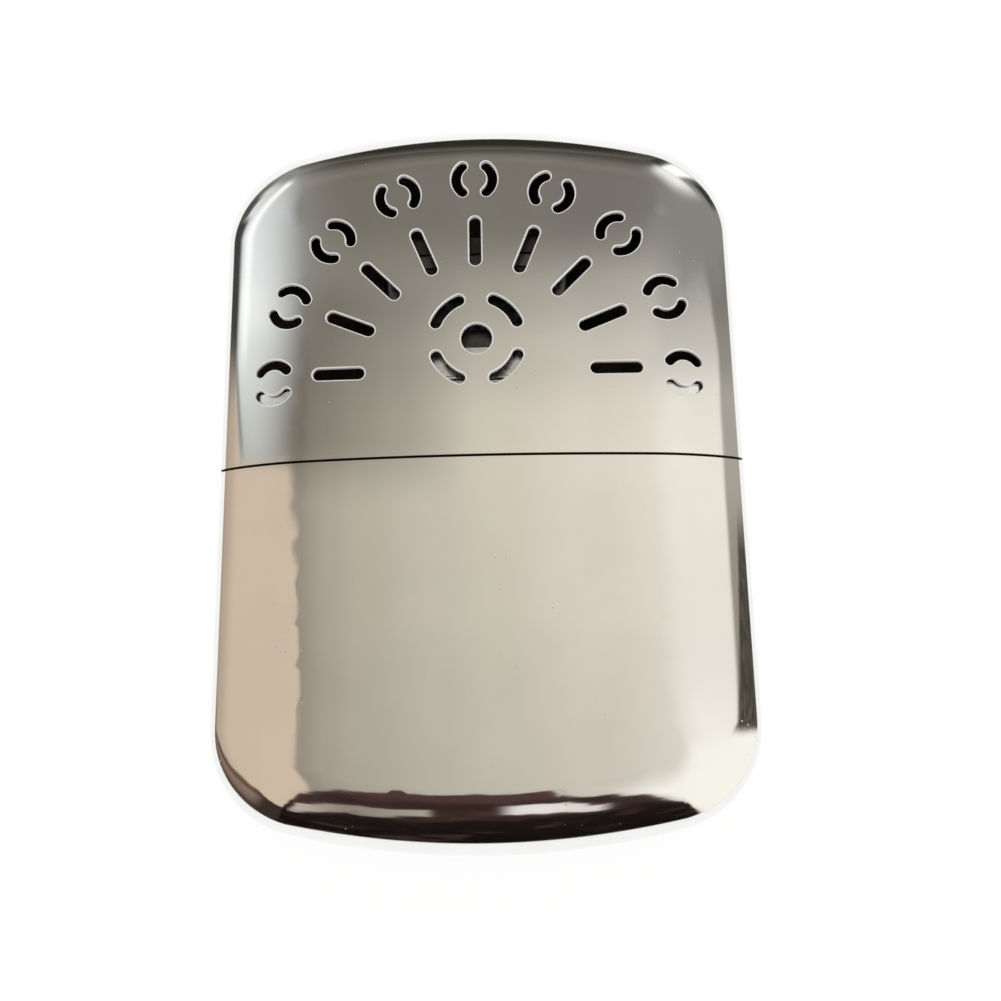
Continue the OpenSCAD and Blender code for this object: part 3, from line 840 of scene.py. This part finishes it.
def packed_wadding(name, node, inset):
    """Wadding packed into the tank: it has the case's form, with an uneven surface."""
    low, high = node_box(node)
    sides, rows = WADDING_SIDES, WADDING_ROWS
    points, faces = [], []
    for i in range(rows + 1):
        y = low.y + (high.y - low.y) * (1 - math.cos(math.pi * i / rows)) / 2
        wide = equator(y, inset)
        for j in range(sides):
            t = 2 * math.pi * j / sides
            x = wide * math.cos(t)
            z = math.copysign(face_height(x, y, inset), math.sin(t))
            sunk = 1 - 0.03 * noise3(Vector((x, y, z)) * 0.8) - 0.02 * noise3(Vector((x, y, z)) * 2.1)
            points.append(Vector((x * sunk, y, MID_Z + z * sunk)) * MM)
    for i in range(rows):
        for j in range(sides):
            k = (j + 1) % sides
            faces.append((i * sides + j, (i + 1) * sides + j, (i + 1) * sides + k, i * sides + k))
    faces.append(list(range(sides)))
    faces.append(list(range(rows * sides + sides - 1, rows * sides - 1, -1)))
    piece = smooth_piece(name, points, faces)
    dress(piece, COTTON)
    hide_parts(node)
    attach(piece, "tank")
    return piece


wadding = packed_wadding("cotton_wadding", "fuel_wadding", COLLAR_INSET + COLLAR_T + WADDING_GAP)
soft_block("felt_wick", "wick_felt", FELT, "tank", 1.2, 0.1)
soft_block("catalyst_pad", "catalyst_mat", GLASS, "burner", 1.2, 0.25)


# ------------------------------------------------------------------ finishes of the carried-over nodes

FINISH = {
    "filler_neck": NECK, "neck_gauze": WIRE,
    "burner_skirt": STEEL, "burner_front": BURNT, "burner_back": BURNT, "burner_lid": LID,
    "mat_grid": BURNT, "mesh_front": WIRE, "mesh_back": WIRE, "burner_rivets": BURNT,
    "grip_spring_left": SPRING, "grip_spring_right": SPRING,
}
for node, material in FINISH.items():
    dress(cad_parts[node], material)


# ------------------------------------------------------------------ camera

# Distance and place in millimetres, focal length in pixels of the picture, angles in degrees
CAMERA_D, CAMERA_F, IMAGE, SENSOR = 110.0, 845.3, 1001, 36
CAMERA_PITCH, CAMERA_YAW, CAMERA_ROLL = -10.344, -0.982, 1.111
CAMERA_X, CAMERA_Y = -2.593, 4.042


def turned(degrees, axis):
    return Matrix.Rotation(math.radians(degrees), 3, axis)


turn = turned(CAMERA_ROLL, "Z") @ turned(CAMERA_PITCH, "X") @ turned(CAMERA_YAW, "Y")
back = turn.transposed()
eye = back @ Vector((-CAMERA_X, -CAMERA_Y, CAMERA_D)) + Vector((0, 0, MID_Z))
lens = bpy.data.cameras.new("camera")
lens.sensor_fit = "HORIZONTAL"
lens.sensor_width = SENSOR
lens.lens = CAMERA_F / IMAGE * SENSOR
lens.clip_start = 0.005
lens.clip_end = 10
lens.dof.use_dof = False
camera = bpy.data.objects.new("camera", lens)
camera.matrix_world = Matrix.Translation(eye * MM) @ back.to_4x4()
bpy.context.scene.collection.objects.link(camera)
bpy.context.scene.camera = camera


# ------------------------------------------------------------------ surroundings

class Sky(Paint):
    """The room that the metal mirrors: a colour for each direction, laid one over another."""

    def __init__(self, world):
        world.use_nodes = True
        self.tree = world.node_tree
        self.tree.nodes.clear()
        self.place = self.node("ShaderNodeTexCoord").outputs["Generated"]
        split = self.node("ShaderNodeSeparateXYZ")
        self.link(self.place, split.inputs[0])
        self.x, self.y, self.z = split.outputs
        self.light = None

    def less(self, a, b):
        return self.maths("SUBTRACT", a, b)

    def ramp(self, value, *stops):
        """A colour or a plain number that runs softly from stop to stop."""
        made = self.node("ShaderNodeValToRGB")
        made.color_ramp.interpolation = "EASE"
        first, last = stops[0][0], stops[-1][0]
        elements = made.color_ramp.elements
        while len(elements) > 1:
            elements.remove(elements[0])
        for i, (at, colour) in enumerate(stops):
            spot = (at - first) / (last - first)
            element = elements[0] if i == 0 else elements.new(spot)
            element.position = spot
            element.color = (*colour, 1) if isinstance(colour, tuple) else (colour, colour, colour, 1)
        self.link(self.part(value, first, last, smooth=False), made.inputs[0])
        return made.outputs[0]

    def band(self, value, low, high, soft):
        """1 between low and high, falling to 0 over soft on each side."""
        return self.product(self.part(value, low - soft, low + soft), self.part(value, high + soft, high - soft))

    def under(self, top, height, soft):
        """1 where a height is under a top, falling to 0 over soft."""
        return self.part(self.less(top, height), -soft, soft)

    def jagged(self, amount, along, across):
        """Fine uneven edge, drawn out along one direction."""
        return self.product(self.part(self.noise(1, 3, (along, across, along)), 0.25, 0.75, -1, 1), amount)

    def times(self, colour, other):
        return self.mix(1, colour, other, "MULTIPLY")

    def lay(self, colour, *shares):
        """Lays a colour over the room where every share is 1."""
        self.light = self.mix(self.product(*shares), self.light, colour)

    def background(self, colour):
        made = self.node("ShaderNodeBackground")
        self.link(colour, made.inputs["Color"])
        return made.outputs[0]


world = bpy.data.worlds.new("studio")
bpy.context.scene.world = world
sky = Sky(world)
part, band, ramp = sky.part, sky.band, sky.ramp
x, y, z = sky.x, sky.y, sky.z
azimuth = sky.product(sky.maths("ARCTAN2", y, x), 180 / math.pi)
# Height over the side of the room towards the tank's end, as a share of a right angle
rise = sky.product(sky.maths("ARCTAN2", z, sky.product(y, -1.0)), 2 / math.pi)
BRIGHT, DARK = (1.25, 1.3, 1.35), (0.05, 0.05, 0.05)

# Room over the object: darker to the left, lighter to the right
room = ramp(x, (-0.6, (0.36, 0.335, 0.29)), (-0.5, (0.38, 0.35, 0.30)), (-0.42, (0.52, 0.48, 0.42)),
            (-0.35, (0.58, 0.55, 0.48)), (-0.15, (0.68, 0.65, 0.58)), (0.0, (0.75, 0.72, 0.64)),
            (0.25, (0.84, 0.80, 0.74)), (0.6, (0.99, 0.97, 0.93)))
# It falls away to grey beyond the closed end, and a little towards the tank's end
shade = ramp(y, (-0.2, (0.84, 0.84, 0.85)), (-0.05, 0.90), (0.08, 0.98), (0.2, 1.0), (0.27, 0.95),
             (0.34, (0.78, 0.79, 0.80)), (0.41, (0.58, 0.59, 0.60)), (0.48, (0.51, 0.52, 0.53)),
             (0.60, 0.50), (0.71, 0.55), (0.79, 0.44), (0.85, 0.27), (0.88, 0.20),
             (0.91, (0.30, 0.30, 0.29)), (0.93, (0.18, 0.18, 0.17)), (0.955, (0.075, 0.075, 0.07)),
             (1.0, (0.065, 0.064, 0.06)))
sky.light = sky.times(room, shade)

# Uneven light over the closed end: a dark corner on the left, a dimmer side on the right
corner = ramp(x, (-0.6, 0.60), (-0.44, 0.60), (-0.24, 0.74), (-0.04, 1.03), (0.1, 1.05))
sky.lay(sky.times(sky.light, corner), part(y, 0.17, 0.25), part(y, 0.46, 0.38))
sky.lay(sky.times(sky.light, (0.8, 0.8, 0.8)), part(x, 0.35, 0.55), band(y, 0.32, 0.44, 0.04))
far = ramp(x, (-0.5, 0.85), (-0.35, 0.70), (-0.1, 0.62), (0.1, 0.56), (0.22, 0.50), (0.34, 0.50), (0.45, 0.52))
sky.lay(sky.times(sky.light, far), part(y, 0.40, 0.48))

# Window on the left, beyond the closed end, wider and softer farther out
pane = ramp(y, (0.20, (0.45, 0.47, 0.48)), (0.25, (0.65, 0.69, 0.70)), (0.33, (0.84, 0.90, 0.93)),
            (0.385, (1.06, 1.13, 1.19)), (0.44, (0.98, 1.05, 1.13)), (0.60, (0.96, 1.03, 1.11)),
            (0.75, (1.08, 1.16, 1.24)))
edge = part(y, 0.254, 0.42, -0.52, -0.32, smooth=False)
fade = part(y, 0.254, 0.42, 0.34, 0.58, smooth=False)
sky.lay(pane, part(sky.maths("DIVIDE", sky.less(edge, x), fade), 0, 1), part(y, 0.17, 0.22), part(z, 0.10, 0.2))
# Bright rim over its dark sill
sky.lay((1.22, 1.27, 1.35), band(azimuth, 128, 164, 3), band(z, 0.33, 0.40, 0.03), part(y, 0.30, 0.38))
sky.lay((0.06, 0.06, 0.062), band(azimuth, 145, 164, 2), part(z, 0.31, 0.22))
sky.lay((0.09, 0.09, 0.09), band(azimuth, 137, 145, 2), part(z, 0.22, 0.17))
sky.lay((0.30, 0.31, 0.32), band(azimuth, 116, 130, 5), part(z, 0.32, 0.26))
# Dark frame between it and the wall
slant = sky.total(z, sky.product(y, 1.4))
sky.lay((0.30, 0.31, 0.325), band(slant, 0.695, 0.745, 0.02), band(y, 0.225, 0.33, 0.02), part(azimuth, 156, 160))

# Wall on the left, with a sharp edge
wall_edge = sky.less(sky.product(sky.maths("MAXIMUM", sky.total(y, 0.07), 0.0), -0.35), 0.490)
fray = sky.product(sky.jagged(0.05, 3, 260), part(y, 0.04, 0.16))
beside_tank = sky.product(sky.under(sky.less(wall_edge, fray), x, 0.004), part(y, 0.225, 0.21))
beside_cap = sky.product(part(azimuth, 158, 162), part(slant, 0.71, 0.67), part(y, 0.40, 0.25))
sky.lay(ramp(z, (0.0, (0.44, 0.36, 0.30)), (0.2, (0.56, 0.47, 0.39)), (0.4, (0.73, 0.61, 0.50)),
             (0.9, (0.74, 0.62, 0.52))), sky.maths("MAXIMUM", beside_tank, beside_cap))
# Low dark border under that wall, towards the tank's end
border_top = ramp(x, (-0.98, 0.56), (-0.9, 0.52), (-0.82, 0.49), (-0.72, 0.42), (-0.58, 0.38), (-0.5, 0.36))
border = ramp(rise, (0.0, (0.06, 0.042, 0.033)), (0.14, (0.09, 0.065, 0.05)), (0.22, (0.22, 0.16, 0.135)),
              (0.38, (0.30, 0.22, 0.19)), (0.44, (0.14, 0.095, 0.07)), (0.60, (0.17, 0.12, 0.09)))
border = sky.mix(part(x, -0.74, -0.84), (0.045, 0.032, 0.027), border)
sky.lay(border, sky.under(sky.total(border_top, sky.jagged(0.02, 5, 5)), rise, 0.012),
        part(x, -0.50, -0.56), part(y, 0.0, -0.03))

# Pale wall on the right, with a grey dado and a gritty dark shelf
sky.lay((1.13, 1.14, 1.12), part(azimuth, -56, -50), part(azimuth, 6, -14), part(z, 0.95, 0.7))
dado = ramp(y, (-0.1, (0.38, 0.36, 0.33)), (0.10, (0.37, 0.34, 0.31)), (0.2, (0.46, 0.44, 0.41)),
            (0.28, (0.46, 0.45, 0.42)), (0.33, (0.33, 0.32, 0.30)), (0.40, (0.22, 0.22, 0.21)),
            (0.5, (0.21, 0.21, 0.205)))
dado_top = ramp(y, (-0.1, 0.465), (0.06, 0.455), (0.17, 0.445), (0.25, 0.425), (0.33, 0.395), (0.38, 0.43),
                (0.45, 0.5))
sky.lay(dado, band(azimuth, -8, 60, 3), sky.under(dado_top, z, 0.025))
shelf_top = sky.less(0.41, sky.product(sky.total(y, sky.jagged(0.01, 20, 200)), 0.9))
grit = part(sky.noise(90, 4), 0.5, 0.66)
sky.lay(sky.mix(grit, (0.05, 0.046, 0.04), (0.26, 0.25, 0.22)), sky.under(shelf_top, z, 0.012),
        band(azimuth, -8, 8, 2))
# Grey cloud and glints over the closed end's right corner
sky.lay((0.29, 0.29, 0.285), part(x, 0.42, 0.70), part(sky.total(y, sky.jagged(0.02, 3, 40)), 0.37, 0.44))
sky.lay((1.05, 1.08, 1.12), band(azimuth, 42, 60, 5), part(z, 0.25, 0.34), part(z, 0.58, 0.36))
sky.lay(DARK, band(azimuth, 60, 66, 2), part(z, 0.30, 0.2))
sky.lay(DARK, band(azimuth, 36, 47, 3), part(z, 0.24, 0.16))
sky.lay(BRIGHT, band(azimuth, 49, 58, 1.5), band(z, 0.03, 0.3, 0.02))

# Dark side of the room beyond the tank's end
dark_top = ramp(x, (-0.62, 0.34), (-0.56, 0.52), (-0.52, 0.665), (-0.39, 0.775), (-0.18, 0.83), (0.0, 0.845),
                (0.13, 0.845), (0.16, 0.77), (0.27, 0.695), (0.38, 0.61), (0.52, 0.38), (0.58, 0.18))
depths = ramp(rise, (0.0, (0.006, 0.004, 0.004)), (0.25, (0.009, 0.006, 0.006)), (0.45, (0.014, 0.009, 0.008)),
              (0.55, (0.05, 0.028, 0.024)), (0.68, (0.04, 0.02, 0.02)), (0.78, (0.085, 0.045, 0.045)),
              (0.9, (0.075, 0.04, 0.035)))
folds = part(sky.noise(1, 4, (7, 9, 9)), 0.52, 0.72)
depths = sky.mix(folds, depths, sky.mix(0.5, depths, (0.10, 0.055, 0.05)))
sky.lay(depths, sky.under(sky.total(dark_top, sky.jagged(0.03, 6, 6)), rise, 0.01), part(y, 0.0, -0.05),
        band(x, -0.60, 0.575, 0.02))
# Two pale patches in it
patch_low = ramp(x, (-0.55, 0.36), (-0.52, 0.36), (-0.4, 0.49), (-0.2, 0.50), (0.0, 0.56), (0.17, 0.54),
                 (0.3, 0.47))
over_patch = sky.total(sky.less(rise, patch_low), sky.jagged(0.035, 7, 7))
sky.lay(ramp(x, (-0.55, (0.62, 0.54, 0.50)), (-0.4, (0.33, 0.28, 0.26)), (-0.2, (0.46, 0.43, 0.38)),
             (0.1, (0.95, 0.92, 0.92)), (0.3, (0.85, 0.82, 0.82))), band(over_patch, 0.0, 0.12, 0.012),
        sky.maths("MAXIMUM", band(x, -0.54, -0.19, 0.015), band(x, 0.02, 0.29, 0.03)))
# Pale horizon
sky.lay((0.95, 0.95, 0.94), part(z, 0.035, 0.0))

# The backdrop is white, metal mirrors the room, and the rest is lit plainly
paths = sky.node("ShaderNodeLightPath")
lit = sky.blend(paths.outputs["Is Glossy Ray"], sky.background((0.82, 0.81, 0.79)), sky.background(sky.light))
sky.show("ShaderNodeOutputWorld", sky.blend(paths.outputs["Is Camera Ray"], lit, sky.background((1, 1, 1))))

# Pale floor that keeps the object's faint shadow
FLOOR_HALF, FLOOR_Z = 3, -0.0002
corners = [(a * FLOOR_HALF, b * FLOOR_HALF, FLOOR_Z) for a, b in ((-1, -1), (1, -1), (1, 1), (-1, 1))]
floor_mesh = bpy.data.meshes.new("floor")
floor_mesh.from_pydata(corners, [], [(0, 1, 2, 3)])
floor = bpy.data.objects.new("floor", floor_mesh)
bpy.context.scene.collection.objects.link(floor)
paint = Paint("floor_white")
matte = paint.node("ShaderNodeBsdfDiffuse")
paint.link((0.9, 0.9, 0.9), matte.inputs["Color"])
glow = paint.node("ShaderNodeEmission")
glow.inputs["Strength"].default_value = 1.03
ray = paint.node("ShaderNodeLightPath")
paint.link(paint.mix(ray.outputs["Is Glossy Ray"], (1, 1, 1), (1.09, 1.13, 1.20)), glow.inputs["Color"])
share = paint.part(ray.outputs["Is Camera Ray"], 0, 1, 0.9, 0.86, smooth=False)
paint.show("ShaderNodeOutputMaterial", paint.blend(share, matte.outputs[0], glow.outputs[0]))
dress(floor, paint.material)

lamp_data = bpy.data.lights.new("overhead", "AREA")
lamp_data.size = 0.5
lamp_data.energy = 0.9
lamp = bpy.data.objects.new("overhead", lamp_data)
lamp.location = (0.12, 0.25, 0.6)
lamp.rotation_euler = (Vector((0, 0, 0)) - Vector(lamp.location)).to_track_quat("-Z", "Y").to_euler()
lamp.visible_glossy = False
bpy.context.scene.collection.objects.link(lamp)

bpy.context.scene.view_settings.view_transform = "Standard"
